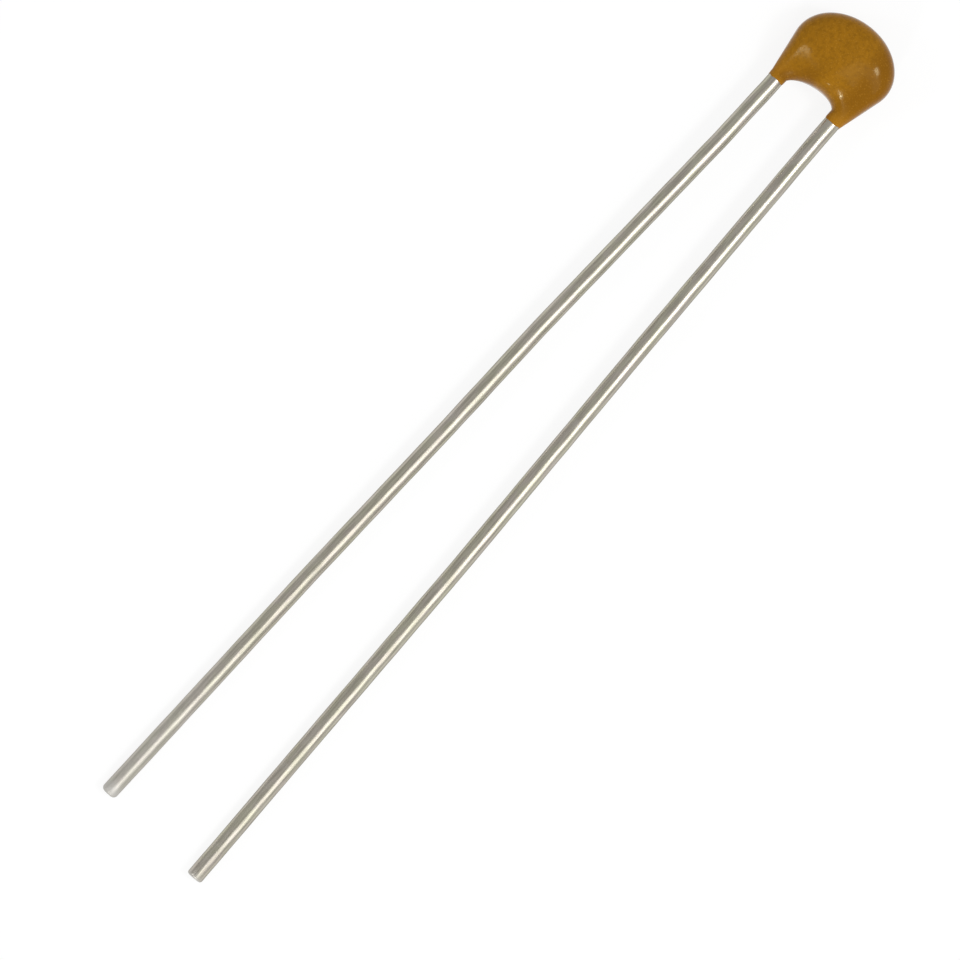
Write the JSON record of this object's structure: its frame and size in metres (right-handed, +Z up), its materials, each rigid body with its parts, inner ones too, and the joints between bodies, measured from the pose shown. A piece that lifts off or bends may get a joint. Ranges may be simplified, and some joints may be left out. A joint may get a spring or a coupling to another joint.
{
  "type": "multilayer ceramic capacitor",
  "caption": "Ceramic capacitor for through-hole boards: a small rounded body dipped in ochre epoxy, on long tinned wire leads that splay slightly.",
  "frame": {"origin": "On the surface that the part lies on, under the middle of its box.", "axes": "+Y along the leads towards the top of the coating, +X across the leads to the right one, +Z up from the surface. The flat of the part leans 1.2 degrees from Z, because it lies on the bulge of its coating and on the cut ends of its leads."},
  "size_m": [0.0047, 0.0372, 0.0021],
  "materials": {
    "epoxy_coating": "satin",
    "tinned_wire": "satin",
    "solder": "satin",
    "termination_metal": "matte",
    "dielectric_ceramic": "matte",
    "electrode_metal": "satin"
  },
  "bodies": {
    "root": {"coating": "epoxy_coating", "lead_left": "tinned_wire", "lead_right": "tinned_wire", "solder_left": "solder", "solder_right": "solder", "termination_left": "termination_metal", "termination_right": "termination_metal", "ceramic_block": "dielectric_ceramic", "electrode_1": "electrode_metal", "electrode_2": "electrode_metal", "electrode_3": "electrode_metal", "electrode_4": "electrode_metal", "electrode_5": "electrode_metal", "electrode_6": "electrode_metal", "electrode_7": "electrode_metal", "electrode_8": "electrode_metal", "electrode_9": "electrode_metal", "electrode_10": "electrode_metal", "electrode_11": "electrode_metal", "electrode_12": "electrode_metal"}
  },
  "joints": []
}
